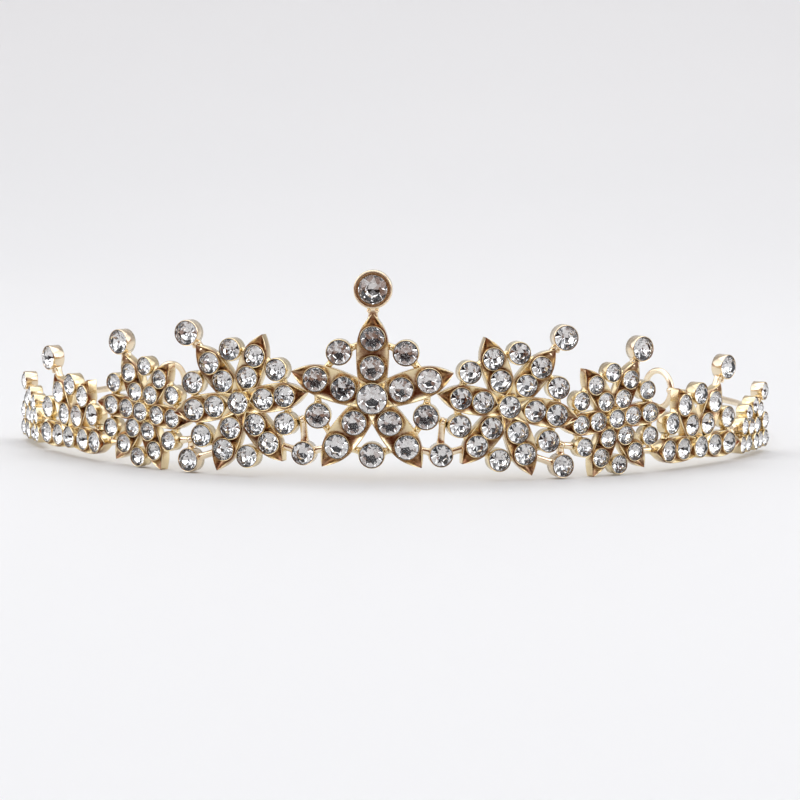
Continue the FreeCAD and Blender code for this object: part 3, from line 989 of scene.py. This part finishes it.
# ------------------------ wire arms
@dataclass
class WireArm:
    """A drawn wire from behind the end star, along the plan curve, to a round end loop."""

    side: Side
    curve: PlanCurve
    wire: float = 1.2
    loop: float = 8.3
    loop_angle: float = 131.8
    sides: int = 24
    stations: int = 120
    loop_stations: int = 96
    solder: float = 0.95
    solder_flat: float = 0.8
    end_rounding: float = 1.6
    overlap: float = 1.0

    def at(self, degrees: float | np.ndarray, level: float) -> np.ndarray:
        """Points of the wire's centre line at angles round the plan circle."""
        angle = self.side.value * np.radians(np.atleast_1d(degrees))
        radius = self.curve.radius - self.wire / 2
        return np.stack([radius * np.sin(angle), self.curve.centre_y - radius * np.cos(angle),
                         np.full(len(angle), level)], 1)

    def build(self, gold: "Golds") -> None:
        """Make the arm: a run along the circle, a ring across its end, and solder where they meet.

        Args:
            gold: The metal finishes.
        """
        level = self.loop / 2
        ring_radius = (self.loop - self.wire) / 2
        start = math.degrees(SIDE_STARS[-1].station / self.curve.radius) - self.overlap
        run_radius = self.curve.radius - self.wire / 2
        stop = self.loop_angle - math.degrees(math.asin(ring_radius / run_radius))
        share = np.linspace(0, 1, self.stations)
        path = self.at(start + (stop - start) * share, level)
        ends = np.minimum(share, 1 - share) * self.stations
        half = self.wire / 2 * np.sqrt(1 - np.clip(1 - ends / self.end_rounding, 0, 0.96) ** 2)
        section = round_section(self.sides)
        upright = OUT_OF_PLANE
        run = swept(path, np.stack([half, half], 1), section, upright)
        angle = math.radians(self.side.value * self.loop_angle)
        outward = np.array([math.sin(angle), -math.cos(angle), 0.0])
        tangent = np.array([math.cos(angle), math.sin(angle), 0.0])
        turn = np.linspace(0, 2 * np.pi, self.loop_stations, endpoint=False)[:, None]
        centre = self.at(self.loop_angle, level)[0]
        ring_path = centre + ring_radius * (np.cos(turn) * tangent + np.sin(turn) * upright)
        round_half = np.full((self.loop_stations, 2), self.wire / 2)
        ring = swept(ring_path, round_half, section, outward, True)
        drop = [(self.solder * math.cos(a), self.solder_flat * self.solder * math.sin(a))
                for a in np.radians([-88, -65, -40, -15, 0, 15, 40, 65, 88])]
        blob = turned(drop, self.sides)
        lobe = blob.points @ np.stack([tangent * 0.95, upright * 0.8, outward])
        joint = Shell(lobe + self.at(stop, level)[0], blob.faces).facing_out()
        shell = joined([run, ring, joint])
        shell.points = shell.points * MM
        node = f"wire_arm{self.side.suffix}"
        piece_from(f"{node}_wire", shell, None, [gold.wire], node)


# ------------------------ materials
Given = float | tuple[float, ...] | bpy.types.NodeSocket


class Nodes:
    """A small helper that adds and links shader nodes."""

    def __init__(self, tree: bpy.types.NodeTree) -> None:
        """Work on one node tree."""
        self.tree = tree

    def add(self, kind: str, inputs: dict | None = None, **settings: object) -> bpy.types.Node:
        """Add a node.

        Args:
            kind: The node's type.
            inputs: Socket name or index to a value or to another node's output socket.
            **settings: Properties of the node.

        Returns:
            The node.
        """
        node = self.tree.nodes.new(kind)
        for key, value in settings.items():
            setattr(node, key, value)
        self.feed(node, inputs or {})
        return node

    def feed(self, node: bpy.types.Node, inputs: dict) -> None:
        """Give a node's own sockets values, or links from other nodes' outputs."""
        for key, value in inputs.items():
            if isinstance(value, bpy.types.NodeSocket):
                self.tree.links.new(value, node.inputs[key])
            else:
                node.inputs[key].default_value = value

    def math(self, operation: str, first: Given, second: Given = 0.0, third: Given = 0.0,
             clamp: bool = False) -> bpy.types.NodeSocket:
        """A Math node's result."""
        node = self.add("ShaderNodeMath", {0: first, 1: second, 2: third},
                        operation=operation, use_clamp=clamp)
        return node.outputs[0]

    def noise(self, place: bpy.types.NodeSocket, scale: float, detail: float) -> bpy.types.NodeSocket:
        """A noise value at a place."""
        inputs = {"Vector": place, "Scale": scale, "Detail": detail}
        return self.add("ShaderNodeTexNoise", inputs).outputs["Fac"]

    def mix(self, factor: Given, first: Given, second: Given) -> bpy.types.NodeSocket:
        """A colour mixed from two."""
        node = self.add("ShaderNodeMix", {"Factor": factor, 6: first, 7: second}, data_type="RGBA")
        return node.outputs[2]

    def ramp(self, value: Given, low: float, high: float, to_low: float,
             to_high: float) -> bpy.types.NodeSocket:
        """A value carried smoothly from one range to another."""
        node = self.add("ShaderNodeMapRange", {"Value": value, "From Min": low, "From Max": high,
                                               "To Min": to_low, "To Max": to_high},
                        interpolation_type="SMOOTHSTEP")
        return node.outputs["Result"]


def blank_finish(name: str) -> tuple[bpy.types.Material, Nodes, bpy.types.Node]:
    """A new material, the helper for its node tree, and its Principled shader."""
    material = bpy.data.materials.new(name)
    material.use_nodes = True
    return material, Nodes(material.node_tree), material.node_tree.nodes["Principled BSDF"]


def cast_surface_group() -> bpy.types.NodeTree:
    """The cast and plated surface, shared by all the metal.

    Slow noise stands for the ripple of a casting, fine noise for the plating's grain and a
    stretched noise for polishing marks.  The group gives a colour, a roughness and a normal.

    Returns:
        The node group.
    """
    tree = bpy.data.node_groups.new("plated_cast_surface", "ShaderNodeTree")
    face = tree.interface
    for name, kind, value in (("Colour", "NodeSocketColor", (0.8, 0.6, 0.4, 1)),
                              ("Shadow Colour", "NodeSocketColor", (0.4, 0.25, 0.12, 1)),
                              ("Roughness", "NodeSocketFloat", 0.2), ("Ripple", "NodeSocketFloat", 0.1),
                              ("Recess", "NodeSocketFloat", 0.0)):
        socket = face.new_socket(name, in_out="INPUT", socket_type=kind)
        socket.default_value = value
    for name, kind in (("Colour", "NodeSocketColor"), ("Roughness", "NodeSocketFloat"),
                       ("Normal", "NodeSocketVector")):
        face.new_socket(name, in_out="OUTPUT", socket_type=kind)
    n = Nodes(tree)
    given = n.add("NodeGroupInput").outputs
    place = n.add("ShaderNodeTexCoord").outputs["Object"]
    ripple = n.noise(place, 620.0, 2.0)
    grain = n.noise(place, 5200.0, 3.0)
    stretched = n.add("ShaderNodeMapping", {"Vector": place, "Scale": (1.0, 1.0, 9.0)}).outputs[0]
    marks = n.noise(stretched, 1500.0, 2.0)
    cloud = n.ramp(n.noise(place, 210.0, 2.0), 0.35, 0.75, 0.0, 0.2)
    # Painted shade: the colour moves towards the shadow colour where the painted shade value is high; the
    # slow cloud adds random darker tone.
    shade = n.math("MULTIPLY_ADD", given["Recess"], 0.95, cloud, clamp=True)
    colour = n.mix(shade, given["Colour"], given["Shadow Colour"])
    rough = n.math("MULTIPLY_ADD", n.ramp(marks, 0.35, 0.7, 0.0, 1.0), 0.10, given["Roughness"])
    rough = n.math("MULTIPLY_ADD", given["Recess"], 0.14, rough, clamp=True)
    height = n.math("MULTIPLY_ADD", grain, 0.06, ripple)
    bump = n.add("ShaderNodeBump", {"Strength": given["Ripple"], "Distance": 0.0002, "Height": height})
    n.add("NodeGroupOutput", {"Colour": colour, "Roughness": rough, "Normal": bump.outputs[0]})
    return tree


@dataclass(frozen=True)
class GoldFinish:
    """Pale gold plating."""

    name: str
    colour: tuple[float, float, float, float]
    # The brown that painted shade darkens the gold to.
    shadow: tuple[float, float, float, float]
    roughness: float
    ripple: float

    def material(self, group: bpy.types.NodeTree) -> bpy.types.Material:
        """The finish as a material.

        Args:
            group: The shared cast surface.

        Returns:
            The material.
        """
        material, n, shader = blank_finish(self.name)
        # The painted shade value of each point, written on the mesh.
        recess = n.add("ShaderNodeAttribute", attribute_name="recess").outputs["Fac"]
        surface = n.add("ShaderNodeGroup", node_tree=group)
        n.feed(surface, {"Colour": self.colour, "Shadow Colour": self.shadow, "Recess": recess,
                         "Roughness": self.roughness, "Ripple": self.ripple})
        n.feed(shader, {"Metallic": 1.0, "Base Color": surface.outputs["Colour"],
                        "Roughness": surface.outputs["Roughness"],
                        "Normal": surface.outputs["Normal"]})
        return material


class Golds:
    """The three metal finishes."""

    def __init__(self) -> None:
        """Make the shared group once and a material for each finish."""
        group = cast_surface_group()
        self.casting, self.setting, self.wire = (finish.material(group) for finish in (
            GoldFinish("champagne_gold_cast", (0.92, 0.78, 0.50, 1), (0.17, 0.046, 0.016, 1), 0.14, 0.26),
            GoldFinish("champagne_gold_polished", (0.94, 0.81, 0.60, 1), (0.36, 0.18, 0.08, 1), 0.12, 0.16),
            GoldFinish("champagne_gold_wire", (0.92, 0.79, 0.58, 1), (0.50, 0.32, 0.18, 1), 0.18, 0.08)))


class Stones:
    """The clear glass of a stone's face and the bright foil behind it."""

    glass_index: float = 1.56

    def __init__(self) -> None:
        """Make both layers."""
        self.layers = [self.glass(), self.foil()]

    def glass(self) -> bpy.types.Material:
        """Clear glass with a slight grey and warm drift from stone to stone."""
        material, n, shader = blank_finish("clear_cut_glass")
        drift = n.noise(n.add("ShaderNodeTexCoord").outputs["Object"], 260.0, 1.0)
        tint = n.mix(drift, (0.90, 0.92, 0.95, 1), (0.98, 0.95, 0.93, 1))
        n.feed(shader, {"Base Color": tint, "Roughness": 0.0, "IOR": self.glass_index,
                        "Transmission Weight": 1.0})
        return material

    def foil(self) -> bpy.types.Material:
        """Silver foil on the back facets, with faint crinkles."""
        material, n, shader = blank_finish("silver_foil_back")
        crinkle = n.noise(n.add("ShaderNodeTexCoord").outputs["Object"], 1800.0, 2.0)
        colour = n.mix(crinkle, (0.80, 0.80, 0.80, 1), (0.93, 0.92, 0.90, 1))
        rough = n.ramp(crinkle, 0.3, 0.7, 0.015, 0.06)
        n.feed(shader, {"Metallic": 1.0, "Base Color": colour, "Roughness": rough})
        return material


# ------------------------ studio
@dataclass(frozen=True)
class Studio:
    """A pale floor that sweeps up into a backdrop, a soft sky with dark flags, and soft boxes."""

    pale: tuple[float, float, float, float] = (0.72, 0.73, 0.745, 1)
    sky: tuple[float, float, float, float] = (0.93, 0.95, 1.0, 1)
    metal_flag: tuple[float, float, float, float] = (0.23, 0.085, 0.035, 1)
    stone_flag: tuple[float, float, float, float] = (0.012, 0.011, 0.013, 1)
    sky_strength: float = 0.62
    side_gain: float = 2.0
    band_least: float = 0.05
    metal_band: tuple[float, float] = (0.28, 0.55)
    stone_band: tuple[float, float] = (0.12, 0.26)
    reach: float = 2.6
    bend_at: float = 0.42
    bend: float = 1.5
    camera_aim: tuple[float, float, float] = (0.00017, 0.01057, 0.0057)
    camera_distance: float = 0.460
    camera_angles: tuple[float, float, float] = (3.56, 5.96, 0.47)
    camera_lens: float = 116.8
    lamps: tuple = (("overhead", (0.0, -0.05, 0.75), 1.2, 4.4),
                    ("backdrop_wash", (0.0, 0.7, 1.5), 1.0, 7.0, (0.0, 1.75, 0.7)),
                    ("left_fill", (-0.7, -0.5, 0.45), 0.45, 1.1),
                    ("right_fill", (0.75, -0.4, 0.4), 0.4, 0.8))

    def floor(self) -> None:
        """A wide sheet: flat near the object, a quarter circle behind, then upright."""
        angle = np.linspace(0, np.pi / 2, 32)
        y = np.concatenate([[-self.reach], self.bend_at + self.bend * np.sin(angle),
                            [self.bend_at + self.bend]])
        z = np.concatenate([[0.0], self.bend - self.bend * np.cos(angle), [self.reach]])
        across = np.linspace(-self.reach, self.reach, 9)
        points = np.stack([np.tile(across, len(y)), np.repeat(y, len(across)),
                           np.repeat(z, len(across))], 1)
        index = np.arange(len(points)).reshape(len(y), len(across))
        faces = np.stack([index[:-1, :-1], index[:-1, 1:], index[1:, 1:], index[1:, :-1]], -1)
        faces = faces.reshape(-1, 4)
        mesh = bpy.data.meshes.new("studio_sweep")
        mesh.from_pydata(points.tolist(), [], faces.tolist())
        mesh.polygons.foreach_set("use_smooth", np.full(len(faces), True))
        sweep = bpy.data.objects.new("studio_sweep", mesh)
        bpy.context.scene.collection.objects.link(sweep)
        mesh.materials.append(self.card())

    def card(self) -> bpy.types.Material:
        """Pale card, which the metal and the stones see as dark from 0.1 m off to the front.

        Returns:
            The material.
        """
        material, n, shader = blank_finish("pale_card")
        place = n.add("ShaderNodeTexCoord").outputs["Object"]
        colour = n.mix(n.noise(place, 3.0, 2.0), (0.80, 0.805, 0.81, 1), (0.84, 0.84, 0.84, 1))
        along = n.add("ShaderNodeSeparateXYZ", {0: place}).outputs["Y"]
        far = n.ramp(along, -0.30, -0.09, 1.0, 0.0)
        path = n.add("ShaderNodeLightPath").outputs
        hidden = n.math("MAXIMUM", path["Is Camera Ray"], path["Is Diffuse Ray"])
        share = n.math("MULTIPLY", far, n.math("SUBTRACT", 1.0, hidden))
        colour = n.mix(share, colour, (0.19, 0.085, 0.04, 1))
        n.feed(shader, {"Base Color": colour, "Roughness": 0.6})
        return material

    def world(self) -> None:
        """The sky: bright above, brighter to the sides, with a dark band to the front and back.

        For a direction (x, y, z) the band is centred at z = c y^2 and its half height is
        0.05 + h y^2.  To the metal the band is brown and tall, with c = 0.28 and h = 0.55; to
        the stones it is black and low, with c = 0.12 and h = 0.26, and clouds break the sky up.
        The sky's strength grows as 1 + 2 x^2.  The camera sees it directly as plain and pale,
        and diffuse light has neither the clouds nor the growth.
        """
        world = bpy.data.worlds.new("soft_studio")
        bpy.context.scene.world = world
        world.use_nodes = True
        world.node_tree.nodes.clear()
        n = Nodes(world.node_tree)
        direction = n.add("ShaderNodeTexCoord").outputs["Generated"]
        parts = n.add("ShaderNodeSeparateXYZ", {0: direction}).outputs
        path = n.add("ShaderNodeLightPath").outputs
        stones = path["Is Transmission Ray"]
        depth = n.math("MULTIPLY", parts["Y"], parts["Y"])
        rise, tall = (n.math("MULTIPLY_ADD", stones, stone - metal, metal)
                      for metal, stone in zip(self.metal_band, self.stone_band, strict=True))
        centre = n.math("MULTIPLY", depth, rise)
        half = n.math("MULTIPLY_ADD", depth, tall, self.band_least)
        share = n.math("DIVIDE", n.math("ABSOLUTE", n.math("SUBTRACT", parts["Z"], centre)), half)
        flag = n.mix(stones, self.metal_flag, self.stone_flag)
        broken = n.ramp(n.noise(direction, 4.0, 0.0), 0.42, 0.50, 0.35, 3.0)
        broken = n.math("MULTIPLY_ADD", n.math("SUBTRACT", broken, 1.0), stones, 1.0)
        colour = n.mix(n.ramp(share, 0.88, 1.12, 0.0, 1.0), flag, self.sky)
        sideways = n.math("MULTIPLY", parts["X"], parts["X"])
        sideways = n.math("MULTIPLY_ADD", sideways, self.side_gain, 1.0)
        sharp = n.math("SUBTRACT", 1.0, path["Is Diffuse Ray"])
        boost = n.math("SUBTRACT", n.math("MULTIPLY", sideways, broken), 1.0)
        boost = n.math("MULTIPLY_ADD", boost, sharp, 1.0)
        strength = n.math("MULTIPLY", boost, self.sky_strength)
        colour = n.mix(path["Is Camera Ray"], colour, self.pale)
        strength = n.math("MAXIMUM", strength, path["Is Camera Ray"])
        background = n.add("ShaderNodeBackground", {"Color": colour, "Strength": strength})
        n.add("ShaderNodeOutputWorld", {"Surface": background.outputs[0]})

    def soft_box(self, name: str, where: tuple[float, float, float], size: float, power: float,
                 aim: tuple[float, float, float] = (0.0, 0.0, 0.01)) -> None:
        """A square area light that the camera doesn't see.

        Args:
            name: The light's name.
            where: Its place, in metres.
            size: Its side.
            power: Its power in watts.
            aim: The point that it faces, which is usually the tiara.
        """
        light = bpy.data.lights.new(name, "AREA")
        light.size, light.energy = size, power
        lamp = bpy.data.objects.new(name, light)
        lamp.location = where
        lamp.rotation_euler = (Vector(aim) - Vector(where)).to_track_quat("-Z", "Y").to_euler()
        lamp.visible_camera = False
        bpy.context.scene.collection.objects.link(lamp)

    def camera(self) -> None:
        """A long lens a little above the tiara and a little to its right.

        The camera stands on the ray from the aim at its azimuth and elevation, and rolls
        about it.
        """
        aim = Vector(self.camera_aim)
        azimuth, elevation, roll = (math.radians(angle) for angle in self.camera_angles)
        ray = Vector((math.sin(azimuth) * math.cos(elevation), -math.cos(azimuth) * math.cos(elevation),
                      math.sin(elevation)))
        camera = bpy.data.objects.new("camera", bpy.data.cameras.new("camera"))
        camera.data.lens, camera.data.sensor_width = self.camera_lens, 36.0
        camera.data.clip_start, camera.data.clip_end = 0.01, 20.0
        turn = (-ray).to_track_quat("-Z", "Y").to_matrix().to_4x4() @ Matrix.Rotation(roll, 4, "Z")
        camera.matrix_world = Matrix.Translation(aim + ray * self.camera_distance) @ turn
        bpy.context.scene.collection.objects.link(camera)
        bpy.context.scene.camera = camera

    def build(self) -> None:
        """Set up the floor, the sky, the lights and the camera."""
        self.floor()
        self.world()
        for lamp in self.lamps:
            self.soft_box(*lamp)
        self.camera()
        bpy.context.scene.view_settings.view_transform = "Standard"


# ------------------------ the tiara
def main() -> None:
    """Build the tiara star by star, then its links, stones, arms and studio."""
    logging.basicConfig(level=logging.INFO, format="%(name)s %(message)s")
    curve, setter = PlanCurve(), StoneSetter()
    gold, stone = Golds(), Stones()
    Star(CENTRE, Side.RIGHT, curve, setter).build(gold, stone)
    for pattern in SIDE_STARS:
        for side in Side:
            Star(pattern, side, curve, setter).build(gold, stone)
    for pattern in link_patterns():
        for side in Side:
            Link(pattern, side, curve).build(gold)
        if pattern.hanging:
            hang_link_stones(pattern, curve, setter, stone)
    for side in Side:
        WireArm(side, curve).build(gold)
    Studio().build()


if __name__ == "__main__":
    main()
